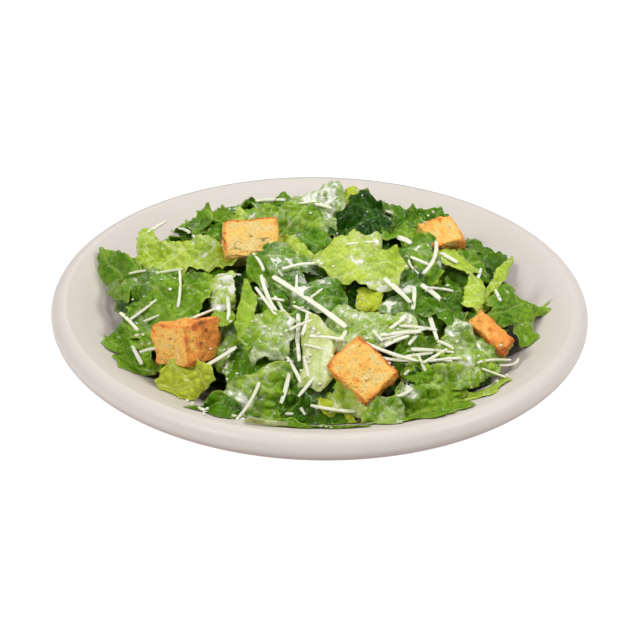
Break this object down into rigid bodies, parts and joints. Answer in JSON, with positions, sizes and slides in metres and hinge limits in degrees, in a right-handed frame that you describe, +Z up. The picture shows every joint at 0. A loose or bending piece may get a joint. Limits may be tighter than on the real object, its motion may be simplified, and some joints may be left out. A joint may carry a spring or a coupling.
{
  "type": "caesar salad in a plate",
  "caption": "Caesar salad of torn romaine with croutons, shredded hard cheese and creamy dressing, heaped in a wide shallow rolled-edge plate.",
  "frame": {"origin": "centre of the plate's foot ring, on the surface that it stands on", "axes": "+Z up, the side served first faces -Y, +X to the right as seen from there"},
  "size_m": [0.2396, 0.2396, 0.0738],
  "materials": {
    "plate": "warm ivory gloss glaze",
    "romaine": "moist green leaf, waxy, from pale rib to dark blade; stands in for lettuce",
    "crouton": "dry toasted bread, golden to brown, with herb specks; stands in for bread",
    "cheese": "pale cream hard cheese, satin; stands in for cheese",
    "dressing": "thin creamy white dressing, wet gloss; stands in for dressing"
  },
  "bodies": {
    "root": {"plate": "plate", "salad": "romaine", "crouton_1": "crouton", "crouton_2": "crouton", "crouton_3": "crouton", "crouton_4": "crouton", "crouton_5": "crouton"}
  },
  "joints": []
}
